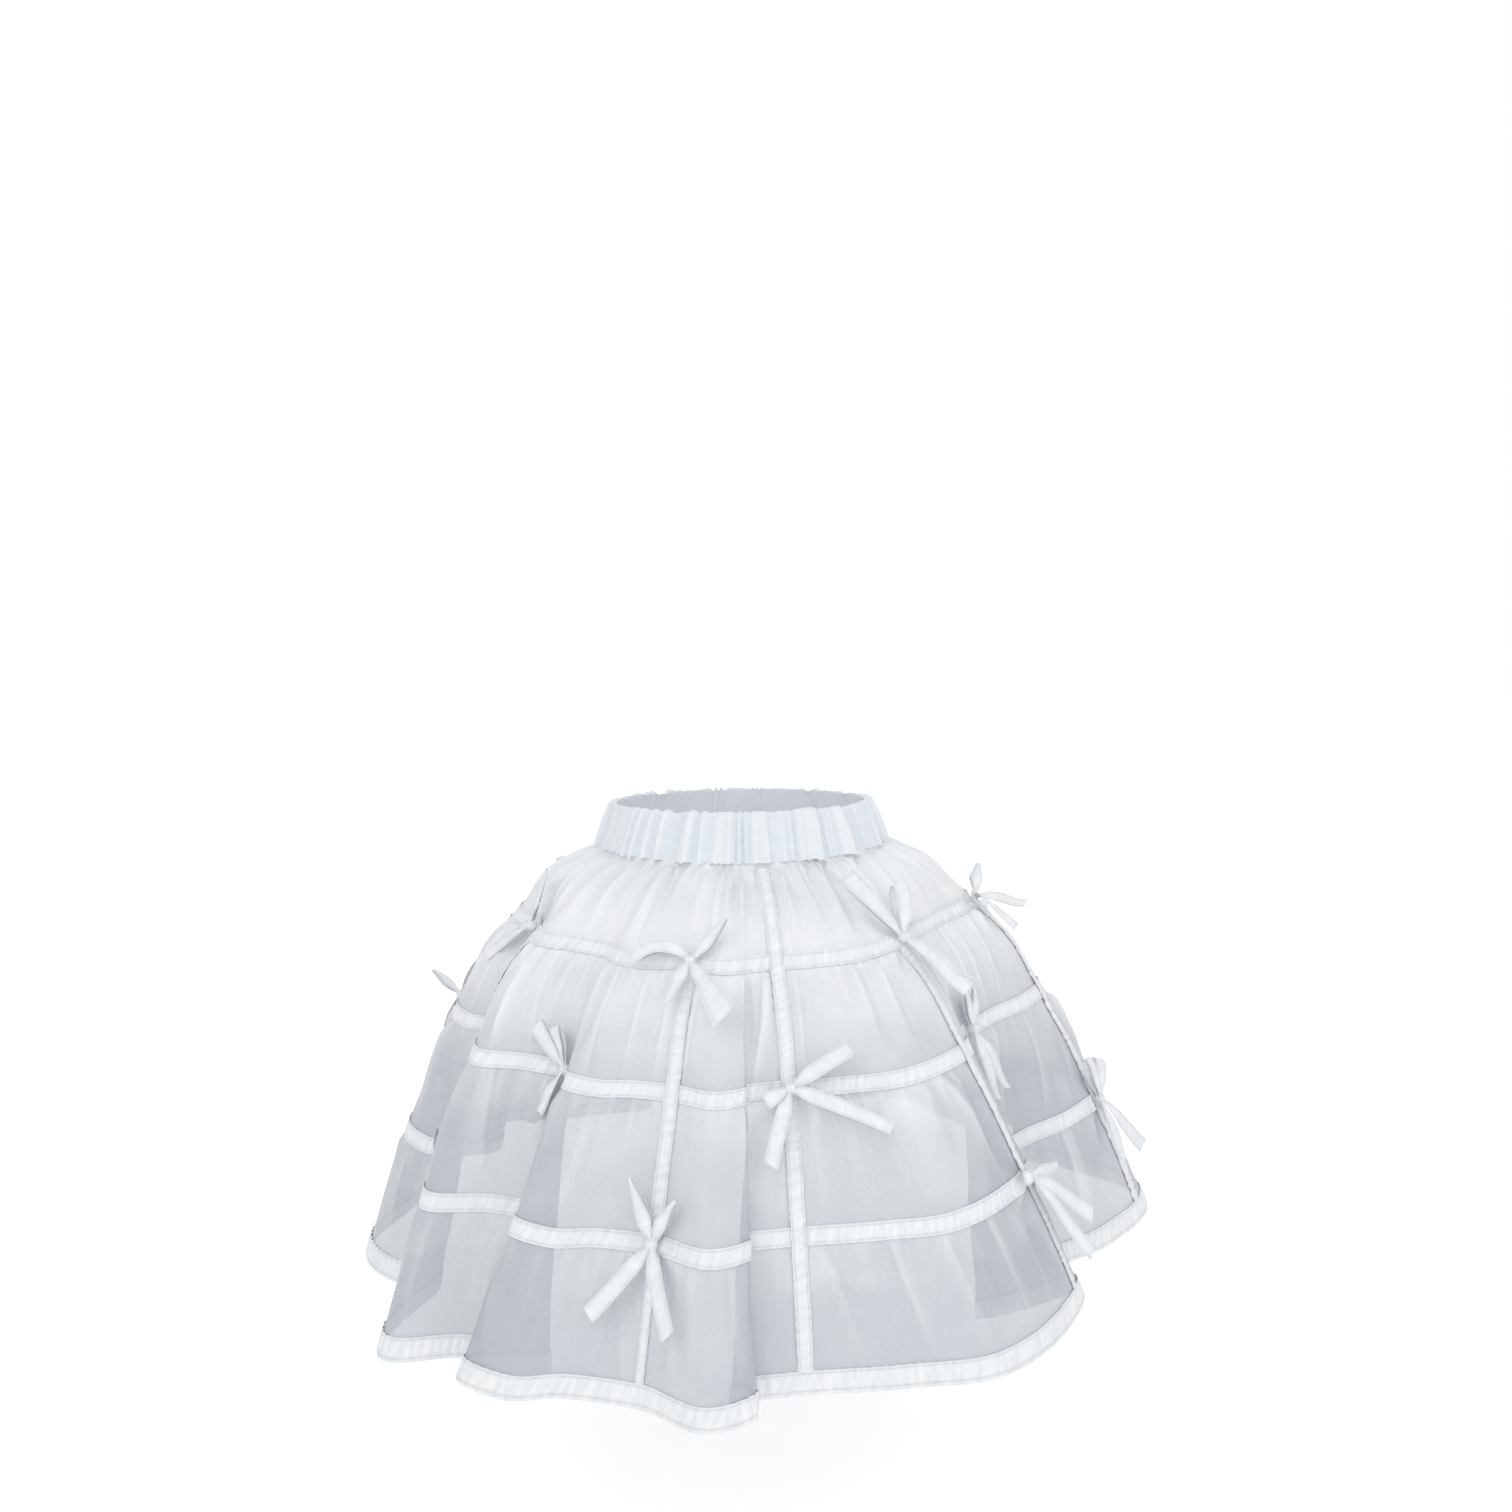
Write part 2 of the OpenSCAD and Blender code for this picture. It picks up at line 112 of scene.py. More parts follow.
def hemAt(a):  # waist angle to hem angle and share of the hem oval
    turn = np.floor((a - waistAngles[0]) / 360)
    t = np.interp(a - 360 * turn, waistAngles, foldOrder)
    k = np.minimum(np.floor(t).astype(int), foldCount - 1)
    c = cubicThrough(foldAt(k - 1), foldAt(k), foldAt(k + 1), foldAt(k + 2), (t - k)[..., None])
    return c[..., 0] + 360 * turn, c[..., 1]


# nine rows of the cloth, every half tier: angle swayed to its hem place, reach drawn in and out by the folds
def levelRows(a):
    hemAngle, hemShare = hemAt(a)
    rows = []
    for w, d, side, front, fold, sway in levels:
        angle = a + (hemAngle - a) * sway
        reach = oval(angle, w, d) * (1 + fold * (hemShare - 1))
        s, c = np.sin(np.radians(angle)), np.cos(np.radians(angle))
        rows.append(np.stack([reach * s, -reach * c, -(side * s * s + front * c * c)], -1))
    mids = [(rows[i] + rows[i + 1]) / 2 for i in (1, 2, 3)]
    return np.stack([rows[0], rows[1], mids[0], rows[2], mids[1], rows[3], mids[2], rows[4], rows[5]])


def smoothCloth(s, a):  # tier count s (0 waist, 4 hem) by waist angle a, a cubic down the nine rows
    rows = levelRows(a)
    rows = np.concatenate([2 * rows[:1] - rows[1:2], rows, 2 * rows[-1:] - rows[-2:-1]])
    k = np.clip(np.floor(s * 2).astype(int), 0, 7)
    f = (s * 2 - k)[:, None, None]
    return cubicThrough(rows[k], rows[k + 1], rows[k + 2], rows[k + 3], f)


def outward(s, a):  # unit normal, from small steps down and along the cloth
    down = smoothCloth(s + .004, a) - smoothCloth(s - .004, a)
    along = smoothCloth(s, a + .06) - smoothCloth(s, a - .06)
    return unit(np.cross(down, along))


# gathers, in mm: fine pleats that start at each seam and run out below it, and long folds with a sharper crest
gather = {
    # pleats round, depth at the seam, how far down they run in tiers, long folds round, their depth
    "tiers": [(96, 2.6, .40, 42, 2.0), (112, 2.2, .32, 46, 2.2), (116, 1.8, .24, 46, 1.8), (118, 1.5, .2, 46, 1.5)],
    "start": [(-.065, .16), (.035, .13), (.035, .13), (.035, .13)],  # from under the band or the ring tape, over how far
    "lean": 2.6,  # long folds lean to one side and the other as they run down
    "front": (3, 7, 1.3),  # deeper pleats by centre front: angle, spread, how much deeper
    "calm": 8, "calmShare": .86,  # mm each side of a rib tape where the stitching holds the cloth flat
    "drags": 6, "dragDepth": 3.2, "dragReach": 44, "dragStart": 12, "dragCalm": 7,  # folds that run out from a knot
    "tierDrop": 100,
}


def foldTrain(count, seed, wobble=1.5):  # uneven spacing: a steady turn plus slow sines; and an uneven depth
    rng = np.random.default_rng(seed)
    k = np.arange(2, 20)[:, None]
    turn, turnAt = rng.normal(0, wobble, k.shape) / np.sqrt(k), rng.uniform(0, 2 * np.pi, k.shape)
    swell, swellAt = rng.normal(0, .22, k.shape), rng.uniform(0, 2 * np.pi, k.shape)

    def train(a):
        r = np.radians(a)[None]
        phase = count * r[0] + (turn * np.sin(k * r + turnAt)).sum(0)
        return phase, np.clip(1 + (swell * np.sin(k * r + swellAt)).sum(0), .2, 2)
    return train


def knotRings(k):  # rings on which rib k carries bows
    return (1, 3) if k % 2 == 0 else (2,)


fineTrains = [foldTrain(g[0], 10 + n) for n, g in enumerate(gather["tiers"])]
longTrains = [foldTrain(g[3], 30 + n, 2) for n, g in enumerate(gather["tiers"])]
knots = [(ring, angle) for k, angle in enumerate(ribAngles) for ring in knotRings(k)]


def perDegree(s):  # mm of cloth in one degree of waist angle
    return np.interp(s, np.arange(5), seams / 360)


def longFold(n, t, a):  # where a place lies in the long folds of tier n: their train, leaning over on the way down
    phase, swell = longTrains[n](a)
    return phase + gather["lean"] * np.sin(np.radians(4 * a + 70 * n)) * t, swell


def fromAngle(a, angle):  # the short way round, in degrees
    return (a - angle + 180) % 360 - 180


def ribDistance(s, a):  # mm to the nearest rib's line
    return np.abs(fromAngle(a[:, None], ribAngles)).min(1) * perDegree(s)[:, None]


def gathers(s, a):  # how far the cloth stands out from its smooth drape
    total = np.zeros((len(s), len(a)))
    frontAngle, spread, deeper = gather["front"]
    for n, (_, depth, run, _, longDepth) in enumerate(gather["tiers"]):
        t = (s - n)[:, None]
        below = np.maximum(t, 0)
        # pleats: a cosine and its double, that run out and merge two by two further down
        phase, swell = fineTrains[n](a)
        if n == 0:
            swell = swell * (1 + deeper * np.exp(-((a - frontAngle) / spread) ** 2))
        begin, over = gather["start"][n]
        held = smoothStep((t - begin) / over) * (1 - smoothStep((t - .55) / .4))
        fine = (np.cos(phase) + .3 * np.cos(2 * phase)) * np.exp(-below / run)
        merged = 1.2 * np.cos(phase / 2 + 1.3 * t) * np.exp(-below / (run * 2.4)) * smoothStep(t / .2)
        total += depth * swell * held * (fine + merged)
        # long folds: a narrow ridge between wide hollows
        turn, swell = longFold(n, t, a)
        crest = 1 - 1.9 * np.sqrt(np.sin(turn / 2) ** 2 + .015)
        total += longDepth * swell * smoothStep((t - .03) / .2) * (1 - smoothStep((t - .35) / .62)) * crest
    ribGap = ribDistance(s, a)
    total *= 1 - gather["calmShare"] * np.exp(-(ribGap / gather["calm"]) ** 2)
    besideRib = 1 - .8 * np.exp(-(ribGap / gather["dragCalm"]) ** 2)
    for ring, angle in knots:  # folds fan out below a knot, a little above it too
        x = fromAngle(a[None], angle) * perDegree(s)[:, None]
        y = (s - ring)[:, None] * gather["tierDrop"]
        r, turn = np.hypot(x, y), np.arctan2(x, y)
        fan = np.cos(gather["drags"] * turn) * smoothStep(r / gather["dragStart"]) * np.exp(-r / gather["dragReach"])
        total += gather["dragDepth"] * fan * (.4 + .6 * smoothStep(y / 14 + .5)) * besideRib
    return total


def cloth(s, a, off=0):  # the finished cloth, raised by off mm
    return smoothCloth(s, a) + outward(s, a) * (gathers(s, a) + off)[..., None]


def bandPoint(a, off, share):  # waistband surface: share of the way down, moved out by off
    c, s = np.cos(np.radians(a)), np.sin(np.radians(a))
    w, d = (top + (low - top) * share for top, low in zip(drape["waist"], drape["band"]))
    reach = oval(a, w, d) + off
    side, front = drape["bandDrop"]
    return np.stack([reach * s, -reach * c, -(side + (front - side) * c ** 2) * share], -1)


# meshes from grids of points
def gridQuads(rows, cols, closed):  # rows and columns of the corners' quads; closed joins the last column to the first
    return np.meshgrid(np.arange(rows - 1), np.arange(cols if closed else cols - 1), indexing="ij")


def gridFaces(rows, cols, closed):
    i, j = gridQuads(rows, cols, closed)
    k = (j + 1) % cols
    return np.stack([i * cols + j, (i + 1) * cols + j, (i + 1) * cols + k, i * cols + k], -1).reshape(-1, 4)


def gridUv(lengthU, lengthV, rows, cols, closed):  # metres along the cloth for every corner of those quads
    i, j = gridQuads(rows, cols, closed)
    u = np.stack([j, j, j + 1, j + 1], -1) / (cols if closed else cols - 1) * lengthU
    v = np.stack([i, i + 1, i + 1, i], -1) / (rows - 1) * lengthV
    return np.stack([u, v], -1).reshape(-1, 2)


# parts are grids in mm with their cut sizes in metres; a ring closes on itself, a strip runs down its rows
def newPiece(name, parts, material, strip=False, flipped=False, densityAndShade=None):
    points, faces, uvs, start = [], [], [], 0
    for grid, cut in parts:
        rows, cols = grid.shape[:2]
        points.append(grid.reshape(-1, 3))
        faces.append(gridFaces(rows, cols, not strip) + start)
        uvs.append(gridUv(*cut, rows, cols, not strip))
        start += rows * cols
    points = np.concatenate(points).astype(np.float32) / 1000
    faces, uvs = np.concatenate(faces).astype(np.int32), np.concatenate(uvs).astype(np.float32)
    if flipped:
        faces = faces[:, ::-1]
    if strip:
        uvs = uvs[:, ::-1]
    mesh = bpy.data.meshes.new(name)
    mesh.vertices.add(len(points))
    mesh.vertices.foreach_set("co", points.ravel())
    mesh.loops.add(faces.size)
    mesh.loops.foreach_set("vertex_index", faces.ravel())
    mesh.polygons.add(len(faces))
    mesh.polygons.foreach_set("loop_start", np.arange(0, faces.size, 4, dtype=np.int32))
    mesh.update(calc_edges=True)
    mesh.validate()
    mesh.uv_layers.new(name="cut").data.foreach_set("uv", uvs.ravel())
    if densityAndShade is not None:
        values = mesh.attributes.new("densityAndShade", "FLOAT", "POINT").data
        values.foreach_set("value", densityAndShade.astype(np.float32).ravel())
    mesh.polygons.foreach_set("use_smooth", np.ones(len(faces), bool))
    mesh.materials.append(material)
    piece = bpy.data.objects.new(name, mesh)
    scene.collection.objects.link(piece)
    return piece


def settle(piece, node, thick=0):
    if thick:
        solid = piece.modifiers.new("thickness", "SOLIDIFY")
        solid.thickness, solid.offset = thick / 1000, 0
        crisp = piece.modifiers.new("crispEdge", "EDGE_SPLIT")
        crisp.split_angle = math.radians(55)
    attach(piece, "root")
    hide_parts(node)


# materials
def addNode(tree, kind, **settings):
    node = tree.nodes.new(kind)
    for key, value in settings.items():
        setattr(node, key, value)
    return node


def math2(tree, operation, a, b=None, clamp=False):  # one Math node; a and b are sockets or numbers
    node = addNode(tree, "ShaderNodeMath", operation=operation, use_clamp=clamp)
    for slot, value in zip(node.inputs, (a, b)):
        if isinstance(value, (int, float)):
            slot.default_value = value
        elif value is not None:
            tree.links.new(value, slot)
    return node.outputs[0]


def plus(tree, a, b, clamp=False):
    return math2(tree, "ADD", a, b, clamp)


def minus(tree, a, b, clamp=False):
    return math2(tree, "SUBTRACT", a, b, clamp)


def times(tree, a, b, clamp=False):
    return math2(tree, "MULTIPLY", a, b, clamp)


def weighted(tree, total, *terms):  # total plus each value times its weight
    for value, weight in terms:
        total = plus(tree, times(tree, value, weight), total)
    return total


def noiseAt(tree, place, scale, detail):
    noise = addNode(tree, "ShaderNodeTexNoise")
    noise.inputs["Scale"].default_value, noise.inputs["Detail"].default_value = scale, detail
    tree.links.new(place, noise.inputs["Vector"])
    return noise.outputs["Fac"]


def drawnNoise(tree, x, y, z=0):  # noise drawn out by its own scale each way
    join = addNode(tree, "ShaderNodeCombineXYZ")
    tree.links.new(x, join.inputs[0])
    tree.links.new(y, join.inputs[1])
    join.inputs[2].default_value = z
    return noiseAt(tree, join.outputs[0], 1, 2)


def newGroup(name, values, results):  # group on the cloth's UV, split along and across it
    group = bpy.data.node_groups.new(name, "ShaderNodeTree")
    group.interface.new_socket("Cloth", in_out="INPUT", socket_type="NodeSocketVector")
    for label, value in values.items():
        group.interface.new_socket(label, in_out="INPUT", socket_type="NodeSocketFloat").default_value = value
    for label in results:
        group.interface.new_socket(label, in_out="OUTPUT", socket_type="NodeSocketFloat")
    start, end = group.nodes.new("NodeGroupInput"), group.nodes.new("NodeGroupOutput")
    split = addNode(group, "ShaderNodeSeparateXYZ")
    group.links.new(start.outputs["Cloth"], split.inputs[0])
    return group, start.outputs, end.inputs, split.outputs[0], split.outputs[1]


def weaveGroup():  # plain weave: crossed ribs of thread, over and under, and the open gaps between them
    tree, given, result, u, v = newGroup("plainWeave", {"Threads": 1200}, ("Height", "Gap"))
    waves = [math2(tree, "SINE", times(tree, times(tree, way, given["Threads"]), math.pi)) for way in (u, v)]
    ridge = math2(tree, "MAXIMUM", *[math2(tree, "ABSOLUTE", wave) for wave in waves])
    tree.links.new(weighted(tree, ridge, (times(tree, *waves), .4)), result["Height"])
    tree.links.new(minus(tree, 1, ridge, True), result["Gap"])
    return tree


def slubGroup():  # uneven threads: noise drawn out along each way of the cloth, and slow patches
    tree, given, result, u, v = newGroup("unevenThread", {"Length": 30, "Fine": 900}, ("Streak", "Patch"))
    streaks = [drawnNoise(tree, times(tree, way, given["Length"]), times(tree, other, given["Fine"]), layer)
               for way, other, layer in ((u, v, 0), (v, u, 7.3))]
    tree.links.new(times(tree, plus(tree, *streaks), .5), result["Streak"])
    tree.links.new(noiseAt(tree, given["Cloth"], 22, 4), result["Patch"])
    return tree


def stitchGroup():  # a row of stitches at a place across the tape: a dash along it times a thin line across it, and a wider sunk band that also gets painted shade
    tree, given, result, u, v = newGroup("stitchRow", {"Place": .0015, "Stitch": .0026, "Thread": .00045},
                                         ("Stitches", "SunkAndShade"))
    away = math2(tree, "DIVIDE", math2(tree, "ABSOLUTE", minus(tree, v, given["Place"])), given["Thread"])
    middle = minus(tree, math2(tree, "FRACT", math2(tree, "DIVIDE", u, given["Stitch"])), .5)
    dash = times(tree, minus(tree, .42, math2(tree, "ABSOLUTE", middle)), 8, True)
    tree.links.new(times(tree, minus(tree, 1, away, True), dash), result["Stitches"])
    tree.links.new(minus(tree, 1, math2(tree, "DIVIDE", away, 3), True), result["SunkAndShade"])
    return tree


def puckerGroup():  # creases across a stitched tape: noise drawn out across it and slanting a little
    tree, given, result, u, v = newGroup("stitchPucker", {"Pitch": 150}, ("Ridge",))
    slant = weighted(tree, u, (v, .3))
    tree.links.new(drawnNoise(tree, times(tree, slant, given["Pitch"]), times(tree, v, 30)), result["Ridge"])
    return tree


weave, slub, stitch, tapePucker = weaveGroup(), slubGroup(), stitchGroup(), puckerGroup()


def placeGroup(tree, group, cut, **values):
    node = addNode(tree, "ShaderNodeGroup", node_tree=group)
    tree.links.new(cut, node.inputs["Cloth"])
    for key, value in values.items():
        node.inputs[key].default_value = value
    return node.outputs


def newCloth(name, look):  # material, its shader, its cut UV in metres, its weave and its uneven threads
    material = bpy.data.materials.new(name)
    material.use_nodes = True
    tree = material.node_tree
    shader = tree.nodes["Principled BSDF"].inputs
    shader["Roughness"].default_value, shader["Sheen Weight"].default_value = look["rough"], look["sheen"]
    cut = addNode(tree, "ShaderNodeUVMap", uv_map="cut").outputs["UV"]
    threads = placeGroup(tree, weave, cut, Threads=look["threads"])
    length, fine = look["uneven"]
    return material, tree, shader, cut, threads, placeGroup(tree, slub, cut, Length=length, Fine=fine)


def colourAndBump(tree, shader, look, shade, height):  # base colour between the look's two shades, and relief
    mix = addNode(tree, "ShaderNodeMix", data_type="RGBA")
    mix.inputs[6].default_value, mix.inputs[7].default_value = (*look["low"], 1), (*look["high"], 1)
    tree.links.new(shade, mix.inputs[0])
    tree.links.new(mix.outputs[2], shader["Base Color"])
    bump = addNode(tree, "ShaderNodeBump")
    bump.inputs["Distance"].default_value, bump.inputs["Strength"].default_value = look["bump"]
    tree.links.new(height, bump.inputs["Height"])
    tree.links.new(bump.outputs[0], shader["Normal"])


def densityAndShadeOf(tree):  # density of the organza with its painted shade and highlights, or the casing's painted pleat shade, from the mesh
    return addNode(tree, "ShaderNodeAttribute", attribute_name="densityAndShade").outputs["Fac"]


organzaLook = {
    "threads": 1100, "uneven": (14, 420), "rough": .5, "sheen": .25, "bump": (.0003, .35),
    "low": (.535, .56, .61), "high": (.90, .92, .94),  # where the cloth lies single, and where it is gathered; painted shade and highlights also move the colour between them
    "patch": .5, "alpha": .86, "fullAlpha": .12, "streakAlpha": .12, "gapAlpha": -.06,
}


def organzaMaterial():  # sheer, stiff weave: denser in the gathers, with painted shade and highlights from the mesh, streaked by uneven threads
    look = organzaLook
    material, tree, shader, cut, threads, uneven = newCloth("sheerOrganza", look)
    full, streak = densityAndShadeOf(tree), minus(tree, uneven["Streak"], .5)
    shade = plus(tree, full, times(tree, minus(tree, uneven["Patch"], .5), look["patch"]), True)
    alpha = weighted(tree, look["alpha"], (full, look["fullAlpha"]), (streak, look["streakAlpha"]))
    alpha = plus(tree, alpha, times(tree, threads["Gap"], look["gapAlpha"]), True)
    tree.links.new(alpha, shader["Alpha"])
    colourAndBump(tree, shader, look, shade, weighted(tree, threads["Height"], (uneven["Patch"], 2)))
    return material


# crease weighs the painted shade of the creases across the tape
tapeLook = {
    "threads": 1000, "uneven": (60, 700), "rough": .8, "sheen": .15, "bump": (.0004, .6),
    "low": (.77, .80, .84), "high": (.93, .945, .96), "base": .35, "crease": 1.9, "stitch": .0028,
}


# woven cotton tape with rows of stitches at these places across it, in metres, and creases to the metre; the creases
# and the lines round the stitches get painted shade
def tapeMaterial(name, places, pitch):
    look = tapeLook
    material, tree, shader, cut, threads, uneven = newCloth(name, look)
    ridge = placeGroup(tree, tapePucker, cut, Pitch=pitch)["Ridge"]
    height = weighted(tree, 0, (threads["Height"], .35), (uneven["Patch"], 1.2), (ridge, 4))
    # painted shade in the creases, from the same ridges as their bump
    shade = weighted(tree, 0, (uneven["Streak"], .8), (threads["Gap"], -.3), (minus(tree, ridge, .5), look["crease"]))
    for place in places:
        row = placeGroup(tree, stitch, cut, Place=place, Stitch=look["stitch"])
        height = weighted(tree, height, (row["Stitches"], 1.6), (row["SunkAndShade"], -1.1))
        # painted shade in the sunk band round each row of stitches
        shade = weighted(tree, shade, (row["Stitches"], .6), (row["SunkAndShade"], -.7))
    colourAndBump(tree, shader, look, plus(tree, shade, look["base"], True), height)
    return material


# ridge weighs the painted pleat shade that the casing's mesh carries
lawnLook = {
    "threads": 1500, "uneven": (45, 160), "rough": .75, "sheen": .2, "bump": (.0006, .5),
    "low": (.725, .785, .85), "high": (.945, .965, .985), "streak": .6, "ridge": .42,
}


def lawnMaterial():  # fine plain cotton with soft creases and the casing's painted pleat shade
    look = lawnLook
    material, tree, shader, cut, threads, uneven = newCloth("cottonLawn", look)
    shade = weighted(tree, 0, (uneven["Streak"], look["streak"]), (densityAndShadeOf(tree), look["ridge"]))
    shade = plus(tree, shade, times(tree, threads["Gap"], -.3), True)
    height = weighted(tree, 0, (threads["Height"], .25), (uneven["Streak"], 2.5))
    colourAndBump(tree, shader, look, shade, height)
    return material


elasticLook = {
    "threads": 500, "uneven": (20, 900), "rough": .7, "sheen": 0, "bump": (.0005, .7),
    "low": (.78, .78, .76), "high": (.9, .9, .88),
}


def elasticMaterial():  # knitted elastic: ridges along the band
    material, tree, shader, cut, threads, uneven = newCloth("elasticWebbing", elasticLook)
    colourAndBump(tree, shader, elasticLook, uneven["Streak"], threads["Height"])
    return material


organza, lawn, elastic = organzaMaterial(), lawnMaterial(), elasticMaterial()
ringTape = tapeMaterial("ringTape", (.0016, .0109), 230)
hemBinding = tapeMaterial("hemBinding", (.0018, .0142), 210)
ribTape = tapeMaterial("ribTape", (.0014, .0096), 220)
bowTape = tapeMaterial("bowTape", (.0011, .0099), 90)
print("materials made")

# organza tiers, with the density of the cloth and painted shade: 0 where it lies single or in painted shade, 1 where
# it is gathered or has a painted highlight
sheer = {
    "cut": [(1.20, .10), (1.65, .105), (2.12, .11), (2.75, .115)],
    "halfTiers": (.92, .9, .92, .76, .34, .1, .02, 0, 0), "seam": .08,  # every half tier, and more by the seams
    "fold": .2, "run": (.66, .66, .6, .5),  # folds laid double with a painted shadow line beside them, and how far down the tiers they run
    # painted highlight on the pleat crests and painted shade between them, how far down it runs, and painted shade by
    # the cloth's relief
    "pleat": .14, "pleatRun": .16, "reliefShade": .015,
    "veil": (0, 0, .08, .15),  # where another layer lies behind tiers 3 and 4
    "rib": .16, "ribHalf": 5.5,  # the ribs inside tier 1 show through
    "tuck": (.86, .93, .985), "tuckOff": .6,  # tier 1 goes up between the casing's layers
}
veilTrain = foldTrain(19, 47, 2.2)


def tierDensity(n, s):
    t = (s - n)[:, None]
    densityWithShade = np.interp(s * 2, np.arange(9), sheer["halfTiers"])[:, None] + sheer["seam"] * np.exp(-t / .2)
    # each fold is laid to one side or the other: a crisp edge with a painted shadow line beside it, then fading
    turn, swell = longFold(n, t, roundAngles)
    count = np.floor((turn + np.pi) / (2 * np.pi))
    within = (turn - 2 * np.pi * count) * np.where(np.sin(2.4 * count + n) > -.2, 1, -1)
    doubledWithShadow = smoothStep((within + .3) / .3) * np.exp(-np.maximum(within, 0) / .85)
    doubledWithShadow -= .55 * np.exp(-((within + .5) / .2) ** 2)
    runOut = smoothStep((t - .02) / .08) * (1 - smoothStep((t - sheer["run"][n]) / .4))
    densityWithShade = densityWithShade + sheer["fold"] * swell * doubledWithShadow * runOut
    # painted highlight on the crests of the fine pleats, painted shade between them
    pleated = smoothStep((np.cos(fineTrains[n](roundAngles)[0] + .8 * t) - .1) / .25)
    densityWithShade = densityWithShade + sheer["pleat"] * (pleated - .4) * np.exp(-t / sheer["pleatRun"])
    # the layer behind ends in flat lobes
    lap, lapSwell = veilTrain(roundAngles + 40 * n)
    lapEdge = .6 + .3 * np.tanh(2.4 * np.cos(lap)) + .04 * np.sin(3 * lap)
    densityWithShade = densityWithShade + sheer["veil"][n] * np.clip(lapSwell, .6, 1.3) * (1 - smoothStep((t - lapEdge) / .07 + .5))
    if n == 0:
        densityWithShade = densityWithShade + sheer["rib"] * np.exp(-(ribDistance(s, roundAngles) / sheer["ribHalf"]) ** 8)
    # painted shade: darker where the cloth sinks back, lighter where it stands out
    return np.clip(densityWithShade + gathers(s, roundAngles) * sheer["reliefShade"], 0, 1)


for n, cut in enumerate(sheer["cut"]):
    s = np.linspace(n, n + 1, drape["tierRows"] + 1)
    points, densityWithShade = cloth(s, roundAngles), tierDensity(n, s)
    if n == 0:
        tuck = np.array(sheer["tuck"])[:, None]
        points = np.concatenate([bandPoint(roundAngles, sheer["tuckOff"], tuck), points])
        densityWithShade = np.concatenate([densityWithShade[:1].repeat(len(tuck), 0), densityWithShade])
    piece = newPiece(f"tier{n + 1}Organza", [(points, cut)], organza, densityAndShade=densityWithShade)
    settle(piece, f"tier_{n + 1}")
print("tiers hung")

# ring tapes over the seams
tapes = {
    "width": 12.5, "rows": 8, "raise": .9, "thick": .5, "tierSlope": (93, 99, 103, 106),
    "pucker": .22, "puckers": (190, 250, 300, 360),  # depth, and number round the rings and the hem
}
puckerTrains = [foldTrain(count, 60 + n, 2.5) for n, count in enumerate(tapes["puckers"])]


def pucker(n, across):  # small ripples along a stitched tape, slanting across it
    phase, swell = puckerTrains[n](tapeAngles)
    return tapes["pucker"] * swell * np.cos(phase + 2.2 * across[:, None])


for ring in (1, 2, 3):
    across = np.linspace(-1, 1, tapes["rows"])
    s = ring + across * tapes["width"] / 2 / tapes["tierSlope"][ring - 1]
    points = cloth(s, tapeAngles, tapes["raise"] + pucker(ring - 1, across))
    width, length = tapes["width"] / 1000, seams[ring] / 1000
    piece = newPiece(f"ring{ring}Tape", [(points, (length, width))], ringTape)
    settle(piece, f"ring_tape_{ring}", tapes["thick"])

# hem binding: down the outside, round the edge and up the inside
hem = {
    "width": 16, "inside": 13, "rows": (9, 6), "cut": (.029, 2.75),
    "raise": (1.1, -.9), "ripple": (1.9, .76),  # outside and inside
    "edge": 4.006, "edgeRaise": (.5, -.5),  # the two rows that turn round the edge of tier 4
}
outside = np.linspace(1, 0, hem["rows"][0])
inside = np.linspace(.06, hem["inside"] / hem["width"], hem["rows"][1])
s = 4 - np.concatenate([outside, inside]) * hem["width"] / tapes["tierSlope"][3]
raised = np.repeat(hem["raise"], hem["rows"])
edgeRows = [len(outside) - 1, len(outside)]
s[edgeRows], raised[edgeRows] = hem["edge"], hem["edgeRaise"]
ripple = pucker(3, np.concatenate([outside, -inside])) * np.repeat(hem["ripple"], hem["rows"])[:, None]
points = cloth(s, tapeAngles, raised[:, None] + ripple)
piece = newPiece("hemBindingTape", [(points, (seams[4] / 1000, hem["cut"][0]))], hemBinding)
settle(piece, "hem_tape", tapes["thick"])
print("ring tapes and hem stitched")

# rib tapes: a strip as wide as the tape, measured along the cloth on either side of the rib's line
ribs = {
    "width": 11, "length": 370, "cut": (.011, .375), "rows": 400, "columns": 7, "top": .02, "end": 3.86, "thick": .4,
    "near": 9, "steps": 120,  # degrees of cloth on either side of the line, and steps over both
    "pucker": .34, "puckers": 43, "edgeWave": .035,
    # off the cloth, by tiers below a seam: inside above it, out through it under the ring tape, then over the rings
    "seam": (-.06, -.01, .02, .055, .1), "raise": (-1.3, -.6, .45, .45, 1.15), "overRing": .95,
    "inside": {6: 2, 8: -1, 10: 2},  # tiers that a rib runs inside, one if not named here
    "narrow": {7: (3.05, .6), 9: (1.15, .62)},  # ribs folded lengthwise from this tier on, to this share of the width
}
s = np.linspace(ribs["top"], ribs["end"], ribs["rows"])
want = np.linspace(-.5, .5, ribs["columns"])
atRing = np.exp(-((s[:, None] - (1, 2, 3)) / .11) ** 4).max(1)
